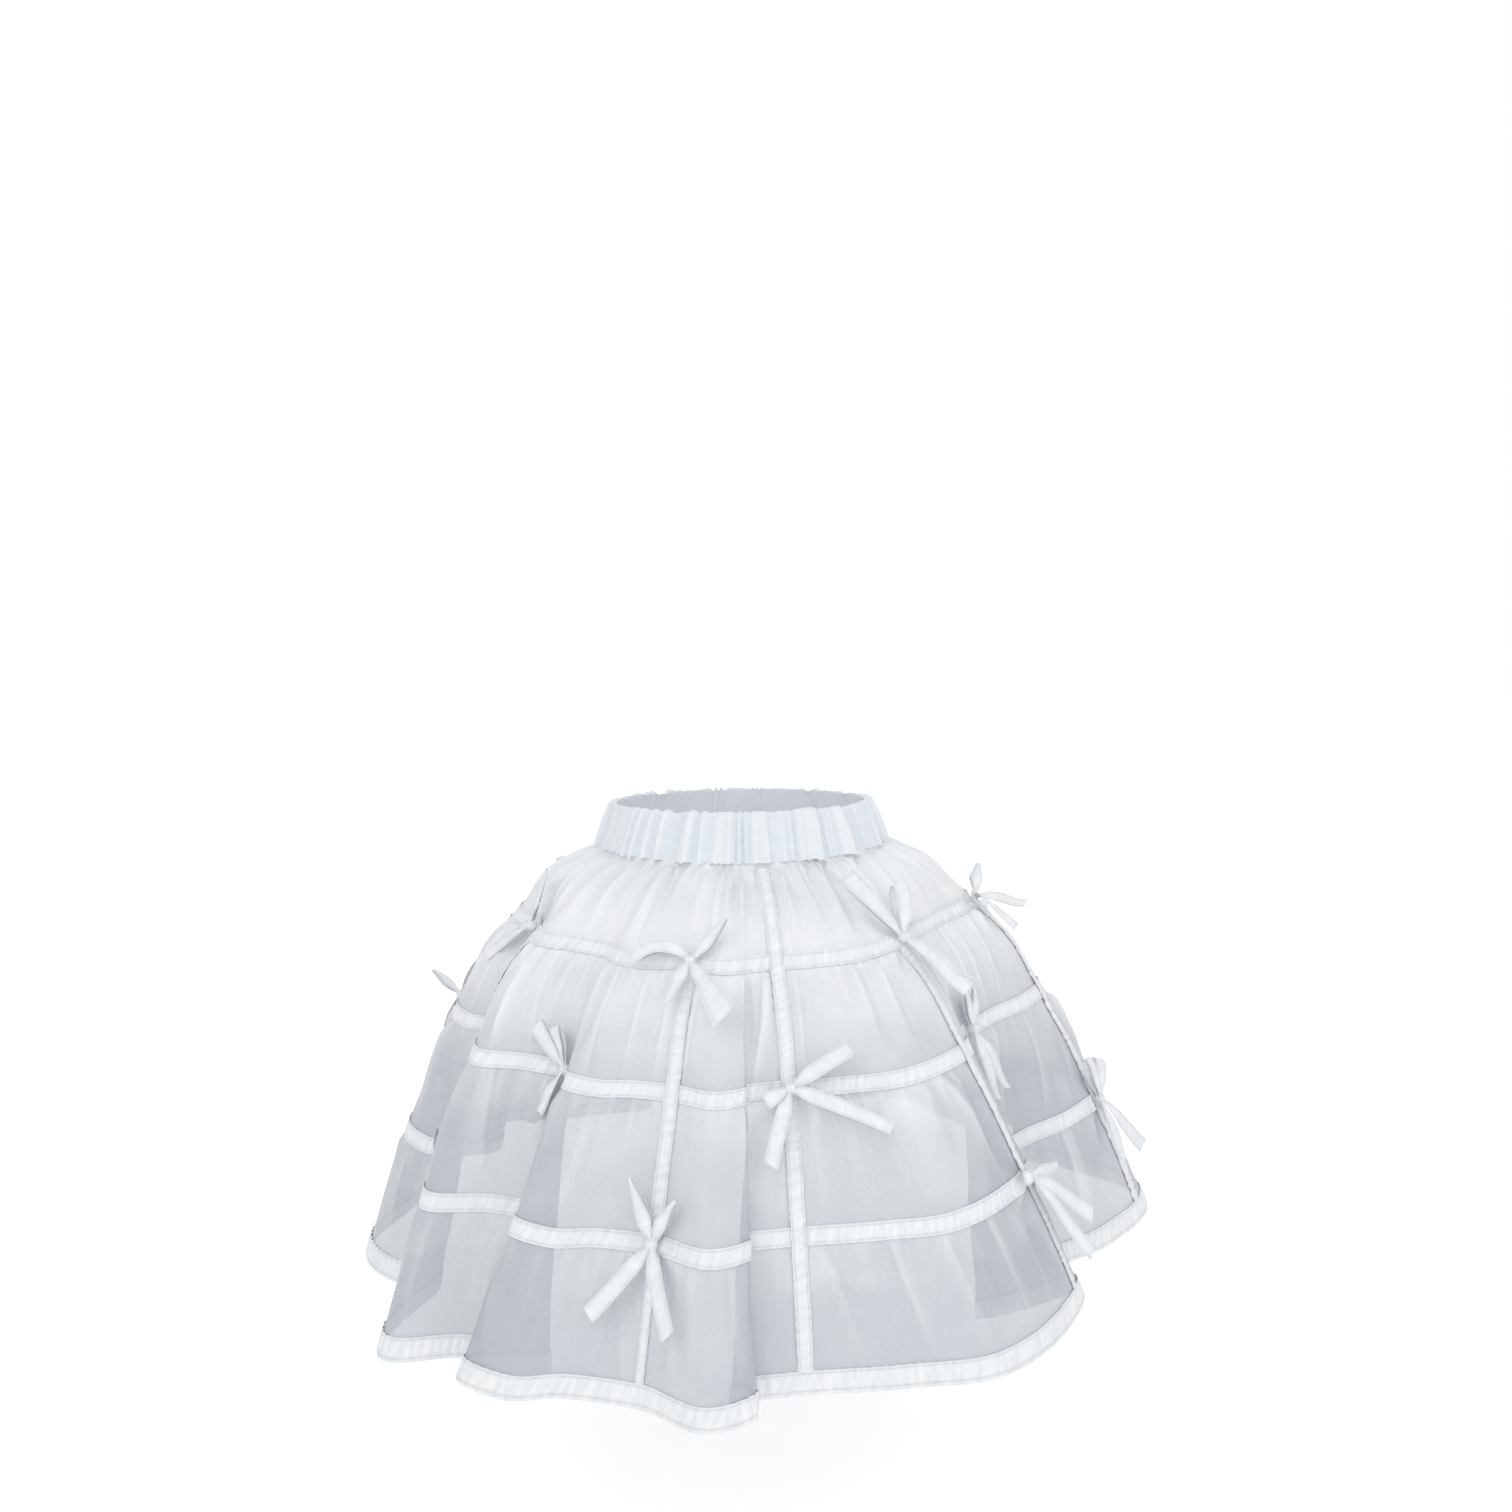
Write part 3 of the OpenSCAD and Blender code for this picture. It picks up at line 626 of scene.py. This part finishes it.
for k, angle in enumerate(ribAngles):
    near = angle + np.linspace(-ribs["near"], ribs["near"], ribs["steps"] + 1)
    local, normal = smoothCloth(s, near), outward(s, near)
    stepLength = np.linalg.norm(np.diff(local, axis=1), axis=2)
    along = np.concatenate([np.zeros((len(s), 1)), np.cumsum(stepLength, axis=1)], 1)
    along -= along[:, ribs["steps"] // 2, None]
    phase, swell = foldTrain(ribs["puckers"], 90 + k, 3)(np.linspace(0, 360, len(s)))
    start, share = ribs["narrow"].get(k + 1, (9, 1))
    width = ribs["width"] * (1 - (1 - share) * smoothStep((s - start) / .25))
    width = width * (1 + ribs["edgeWave"] * swell * np.cos(phase + 1))
    below = s - ribs["inside"].get(k + 1, 1)
    rise = np.interp(below, ribs["seam"], ribs["raise"]) + ribs["overRing"] * atRing * smoothStep((below - .5) / .2)
    raised = local + normal * (gathers(s, near) + rise[:, None])[..., None]
    # where the tape's columns fall between the near angles
    place = np.stack([np.interp(want * w, row, np.arange(len(near))) for row, w in zip(along, width)])
    low = np.minimum(np.floor(place).astype(int), ribs["steps"] - 1)
    part = (place - low)[..., None]
    pick = np.arange(len(s))[:, None]
    points = raised[pick, low] * (1 - part) + raised[pick, low + 1] * part
    ripple = ribs["pucker"] * (1 - .85 * atRing) * swell * width / ribs["width"]
    points += normal[pick, low] * (ripple[:, None] * np.cos(phase[:, None] + 1.5 * want[None]))[..., None]
    size = (ribs["width"] / 1000, ribs["length"] / 1000)
    piece = newPiece(f"rib{k + 1}Tape", [(points, size)], ribTape, strip=True)
    settle(piece, f"rib_tape_{k + 1}", ribs["thick"])
print("ribs stitched")

# waistband: gathered casing folded over the elastic, open below for tier 1
band = {
    "pleats": 46, "depth": 2.6, "fine": 120, "fineDepth": .3, "edge": 90, "edgeDepth": .5, "ruffle": 1.0,
    "out": 2.7, "in": -2.7, "hollow": -2.1, "inDepth": .5,  # layers off the band's surface, and their relief
    "rim": .055, "below": .925, "inBelow": .98, "rows": 22, "crownRows": 5, "inRows": 12,
    "crown": 2.0, "crownDrop": 2.2, "cut": (1.1, .084),
}
phase, swell = foldTrain(band["pleats"], 5, 4.5)(roundAngles)
finePhase, fineSwell = foldTrain(band["fine"], 6, 4)(roundAngles)
edgePhase, edgeSwell = foldTrain(band["edge"], 8, 3)(roundAngles)
ruffle = band["ruffle"] * swell * np.cos(phase)  # the rim waves up and down with the pleats
# pleats: a cosine and its double, flattened at both ends, and fine ones half way down
down = np.linspace(band["below"], band["rim"], band["rows"])[:, None]
flattened = np.tanh(1.5 * np.cos(phase + .5 * down) + .6 * np.cos(2 * phase + 1.2 * down + 1))
pleats = band["depth"] * swell * flattened * (.55 + .45 * smoothStep(down / .35))
pleats += band["fineDepth"] * fineSwell * np.cos(finePhase + 2.5 * down) * np.exp(-((down - .5) / .4) ** 2 * .5)
outer = bandPoint(roundAngles, band["out"] + np.maximum(pleats, band["hollow"]), down)
outer[..., 2] += smoothStep((down - .75) / .25) * band["edgeDepth"] * edgeSwell * np.cos(edgePhase)
outer[..., 2] += ruffle * smoothStep(1 - down / .3)
turnOver = np.linspace(0, np.pi, band["crownRows"] + 2)[1:-1, None]
crownOff = np.cos(turnOver) * band["out"] + pleats[-1:] * (1 + np.cos(turnOver)) / 2
crown = bandPoint(roundAngles, crownOff, 0 * turnOver)
crown[..., 2] += band["crown"] * np.sin(turnOver) - band["crownDrop"] + ruffle
inDown = np.linspace(band["rim"], band["inBelow"], band["inRows"])[:, None]
inner = bandPoint(roundAngles, band["in"] - band["inDepth"] * swell * np.cos(phase), inDown)
inner[..., 2] += ruffle * smoothStep(1 - inDown / .3)
points = np.concatenate([outer, crown, inner])[::-1]
pleatShade = np.full(points.shape[:2], .5)  # painted highlight on the ridges of the pleats, painted shade between them
pleatShade[-band["rows"]:] = (.5 + .5 * np.tanh(1.3 * pleats / band["depth"]))[::-1]
piece = newPiece("waistbandCasing", [(points, band["cut"])], lawn, flipped=True, densityAndShade=pleatShade)
settle(piece, "waistband_casing")

webbing = {"share": (.1, .78), "rows": 7, "off": -.9, "cut": (.66, .028), "thick": .9}
points = bandPoint(roundAngles[::2], webbing["off"], np.linspace(*webbing["share"], webbing["rows"])[:, None])
piece = newPiece("waistElasticBand", [(points, webbing["cut"])], elastic)
settle(piece, "waist_elastic", webbing["thick"])
print("waistband gathered")

# bows: loops and tails of tape from a knot; directions seen from outside, anticlockwise from the right
bows = {
    "width": 11, "columns": 9, "loopRows": 48, "tailRows": 40, "knotRows": 13, "knotColumns": 25,
    "knotRadius": 3.6, "knotWidth": 8, "knotLength": 24, "knotTape": 30, "loopTape": 2.1,  # tape in a knot and a loop
    "lift": 14, "seat": 6.4, "beside": 2.2, "thick": .5,
    # right loop, left loop, right tail, left tail: direction, length, share of the width left at the tip, sideways
    # bend, how far a loop opens in mm or a tail twists in degrees, then a lift other than the usual, a loop's twist
    "poses": [
        ((66, 34, .3, -10, 6), (112, 46, .25, 8, 6), (-65, 62, 1, 6, 10), (-119, 60, 1, -8, -12)),
        ((40, 42, .3, 22, 7), (134, 50, 1, 112, 4, 12), (-53, 66, 2, 0, 8), (-104, 42, .45, 0, 0)),
        ((-23, 78, .85, -6, 5), (207, 22, 1, 0, 10), (30, 52, 1, -4, 8), (-112, 58, 1, 4, -10)),
        ((72, 42, 1.2, 0, 14, 20, -40), (131, 73, 1.3, 4, 5, 20, -55), (-72, 64, 1.1, -2, 30), (-62, 62, .3, 8, 60)),
        ((-14, 50, .45, 8, 6, 5), (170, 18, .9, 0, 8), (-47, 68, 1, -4, 26), (-79, 72, 1, 4, 22)),
        ((66, 22, .3, 0, 8), (117, 50, .2, 10, 5, 22), (-150, 34, .35, 0, 40), (-129, 66, 1.1, 6, -30)),
        ((78, 34, .7, -6, 8), (102, 38, .7, 8, 8), (-80, 54, 1, 4, 15), (-101, 60, 1, -6, -15)),
        ((117, 33, .8, 4, 5, 10, 42), (135, 42, 1, 0, 5, 14, 42), (-66, 36, .5, 0, -35), (-86, 47, .6, -28, -40)),
        ((100, 30, .5, 0, 7), (139, 42, 1, 4, 6), (-78, 50, .8, 0, 20), (-97, 55, .5, -28, 25)),
        ((32, 42, .3, -16, 6, 24, -55), (195, 33, .7, 0, 8), (-52, 57, .7, 10, 65, 24), (-120, 50, .8, 0, 40)),
        ((66, 34, .8, 0, 9, 14, -50), (112, 42, .5, 0, 8, 14, -50), (-73, 58, 1, 8, 55), (-127, 58, .6, 0, 50)),
        ((82, 34, .2, 0, 5, 78), (112, 34, .5, 14, 6, 4), (-88, 50, .7, -14, 10, 3), (-106, 56, .7, -12, -10, 3)),
        ((78, 32, .3, 0, 5), (102, 36, .3, 0, 5), (-82, 52, .5, 0, 40), (-102, 57, .5, 0, 40)),
    ],
    # pose of each rib's bows, on rings 1 and 3 or on ring 2
    "ribs": [(0, 1), (6,), (6, 6), (11,), (5, 8), (7,), (1, 0), (2,), (3, 4), (12,), (9, 10), (6,), (0, 6), (6,)],
}


# tape on a line lifted off the skirt, whose heading turns evenly by the bend; pinched in folds at the knot
def tapeStrip(direction, along, height, width, lift, bend, twist, crease):
    x = np.linspace(-.5, .5, bows["columns"])[None]
    pinch = np.exp(-along / 9)[:, None]
    side = x * width[:, None]
    up = height[:, None] + 1.3 * pinch * np.cos(3 * np.pi * x) + crease * np.abs(x) * (1 - pinch)
    up = up + side * np.sin(twist)[:, None]
    side = side * np.cos(twist)[:, None]
    c, s = math.cos(math.radians(lift)), math.sin(math.radians(lift))
    reach, up = along[:, None] * c - up * s, along[:, None] * s + up * c
    first, curl = math.radians(direction), math.radians(bend) / along.max() + 1e-6
    heading = first + curl * reach
    return np.stack([(np.sin(heading) - math.sin(first)) / curl - side * np.sin(heading),
                     (math.cos(first) - np.cos(heading)) / curl + side * np.cos(heading), up], -1)


def tapeWidth(along, length, tip):  # pinched in the knot, full, then drawn in or flared to the tip
    toTip = 1 + (tip - 1) * smoothStep((along / length - .3) / .7)
    return bows["width"] * (.42 + .58 * smoothStep(along / 20)) * toTip


def bowParts(pose, rise, rng):  # grids about the knot, each with its length of tape
    parts = []
    for n, (direction, length, tip, bend, shape, *lift) in enumerate(pose):
        lift, roll = (*lift, *(bows["lift"], 0)[len(lift):])
        lift += rise * abs(math.cos(math.radians(direction)))
        if n < 2:  # a drop-shaped loop: out and back, open in the middle
            t = np.linspace(.03, .97, bows["loopRows"]) * 2 * np.pi
            along = length / 2 * (1 - np.cos(t))
            height = shape / 2 * np.sin(t) * np.sin(t / 2) - .06 * along
            twist = (math.radians(roll) + rng.normal(0, .1)) * smoothStep(along / length)
            width, crease = tapeWidth(along, length, tip), rng.uniform(-1, 1)
            grid = tapeStrip(direction, along, height, width, lift, bend, twist, crease)
            parts.append((grid, bows["loopTape"] * length))
            continue
        t = np.linspace(.02, 1, bows["tailRows"])  # a tail: a soft wave, cut on a slight slant
        along = length * t
        height = 1.6 * np.sin(np.radians(300) * t) + .4 * np.sin(9 * t + rng.uniform(0, 6))
        twist = math.radians(shape) * smoothStep(t)
        width, crease = tapeWidth(along, length, tip), rng.uniform(-2.4, 2.4)
        grid = tapeStrip(direction, along, height, width, lift, bend, twist, crease)
        end = math.radians(direction + bend)
        slant = rng.uniform(-2.5, 2.5) * np.linspace(-1, 1, bows["columns"])[None] * (t ** 6)[:, None]
        parts.append((grid + np.array([math.cos(end), math.sin(end), 0]) * slant[..., None], length))
    # the knot: a barrel across the tape with soft folds round it, closing at both ends
    turn = np.linspace(0, 2 * np.pi, bows["knotColumns"])[None]
    y = np.linspace(-1, 1, bows["knotRows"])[:, None]
    radius = bows["knotRadius"] * (1 - y ** 4 * .35) * (1 + .07 * np.cos(3 * turn + 4 * y) + .05 * np.cos(9 * y))
    radius = radius * np.sqrt(np.maximum(1 - (np.abs(y) - .85).clip(0) / .15, 0))
    across = y * bows["knotWidth"] / 2 + 0 * turn
    parts.append((np.stack([across, radius * np.cos(turn) * 1.08, radius * np.sin(turn)], -1), bows["knotLength"]))
    return parts


for k, angle in enumerate(ribAngles):
    for ring, poseNumber in zip(knotRings(k), bows["ribs"][k]):
        pose, level, here = bows["poses"][poseNumber], np.array([float(ring)]), np.array([angle])
        seat, out = smoothCloth(level, here)[0, 0], outward(level, here)[0, 0]
        beside = unit(smoothCloth(level, angle + np.array([-bows["beside"], bows["beside"]]))[0] - seat)
        rise = max(0, float((beside @ out).max()))  # how steeply the cloth rises beside the knot
        across = unit(np.cross((0, 0, 1), out))
        turnTo = np.stack([across, np.cross(out, across), out], -1)
        seat = seat + out * (bows["seat"] + rise * bows["knotWidth"] / 2)
        rng = np.random.default_rng(200 + 3 * k + ring)
        width = bows["width"] / 1000
        parts = [(grid @ turnTo.T + seat, (width, length / 1000))
                 for grid, length in bowParts(pose, math.degrees(math.asin(min(.9, rise))), rng)]
        piece = newPiece(f"bowRib{k + 1}Ring{ring}", parts, bowTape, strip=True)
        settle(piece, f"bow_rib{k + 1}_ring{ring}", bows["thick"])
print("bows tied")

# floor, light and camera, in metres
stage = {
    "floor": -.56, "half": 6, "white": (.93, .93, .93), "world": .66,
    "glow": (.46, .72), "glowReach": (.65, 1.5),  # paper turns to plain white away from the skirt
    "aim": (0, 0, -.2),
    # place, size, power
    "lights": {"keyLight": ((-1.1, -2.0, 1.6), 2.4, 22), "fillLight": ((1.9, -1.4, .6), 2.2, 11),
               "backLight": ((.4, 2.0, 1.4), 1.4, 10)},
}
floorMesh = bpy.data.meshes.new("paleFloor")
corners = [(x * stage["half"], y * stage["half"], stage["floor"]) for x, y in ((-1, -1), (1, -1), (1, 1), (-1, 1))]
floorMesh.from_pydata(corners, [], [(0, 1, 2, 3)])
floor = bpy.data.objects.new("paleFloor", floorMesh)
scene.collection.objects.link(floor)


def seenDirectly(tree):  # 1 for what the camera, a mirror or glass sees
    path = addNode(tree, "ShaderNodeLightPath").outputs
    seen = math2(tree, "MAXIMUM", path["Is Camera Ray"], path["Is Glossy Ray"])
    return math2(tree, "MAXIMUM", seen, path["Is Transmission Ray"])


floorLook = bpy.data.materials.new("palePaper")
floorLook.use_nodes = True
tree = floorLook.node_tree
paper = tree.nodes["Principled BSDF"].inputs
paper["Base Color"].default_value = (*stage["white"], 1)
paper["Roughness"].default_value, paper["Specular IOR Level"].default_value = 1, 0
place = addNode(tree, "ShaderNodeTexCoord")
away = addNode(tree, "ShaderNodeVectorMath", operation="LENGTH")
tree.links.new(place.outputs["Object"], away.inputs[0])
far = addNode(tree, "ShaderNodeMapRange", interpolation_type="SMOOTHSTEP")
for key, value in zip(("From Min", "From Max", "To Min", "To Max"), stage["glowReach"] + stage["glow"]):
    far.inputs[key].default_value = value
tree.links.new(away.outputs["Value"], far.inputs["Value"])
shine = times(tree, seenDirectly(tree), far.outputs["Result"])
glow = addNode(tree, "ShaderNodeCombineColor")
for socket in glow.inputs:
    tree.links.new(shine, socket)
tree.links.new(glow.outputs[0], paper["Emission Color"])
paper["Emission Strength"].default_value = 1
floorMesh.materials.append(floorLook)

world = bpy.data.worlds.new("studio")
scene.world = world
world.use_nodes = True
tree = world.node_tree
sky = tree.nodes["Background"].inputs
sky["Color"].default_value = (1, 1, 1, 1)
tree.links.new(weighted(tree, stage["world"], (seenDirectly(tree), 1 - stage["world"])), sky["Strength"])

for name, (place, size, power) in stage["lights"].items():
    light = bpy.data.lights.new(name, "AREA")
    light.size, light.energy = size, power
    lamp = bpy.data.objects.new(name, light)
    z = unit(np.array(place) - np.array(stage["aim"]))
    x = unit(np.cross((0, 0, 1), z))
    lamp.matrix_world = Matrix.Translation(place) @ Matrix(np.column_stack([x, np.cross(z, x), z]).tolist()).to_4x4()
    scene.collection.objects.link(lamp)

# level camera; the centre of its view in pixels of the frame gives the lens shift
camera = {"lens": 30.95, "sensor": 36, "place": (0, -1.170, .134), "roll": .8, "centre": (738.1, 650), "frame": 1512}
cameraData = bpy.data.cameras.new("photoCamera")
cameraData.sensor_width, cameraData.lens = camera["sensor"], camera["lens"]
shift = [.5 - centre / camera["frame"] for centre in camera["centre"]]
cameraData.shift_x, cameraData.shift_y = shift[0], -shift[1]
cameraObject = bpy.data.objects.new("photoCamera", cameraData)
upright = Matrix.Rotation(math.pi / 2, 4, "X") @ Matrix.Rotation(-math.radians(camera["roll"]), 4, "Z")
cameraObject.matrix_world = Matrix.Translation(camera["place"]) @ upright
scene.collection.objects.link(cameraObject)
scene.camera = cameraObject
scene.view_settings.view_transform = "Standard"
scene.cycles.transparent_max_bounces = 48
print("stage lit")
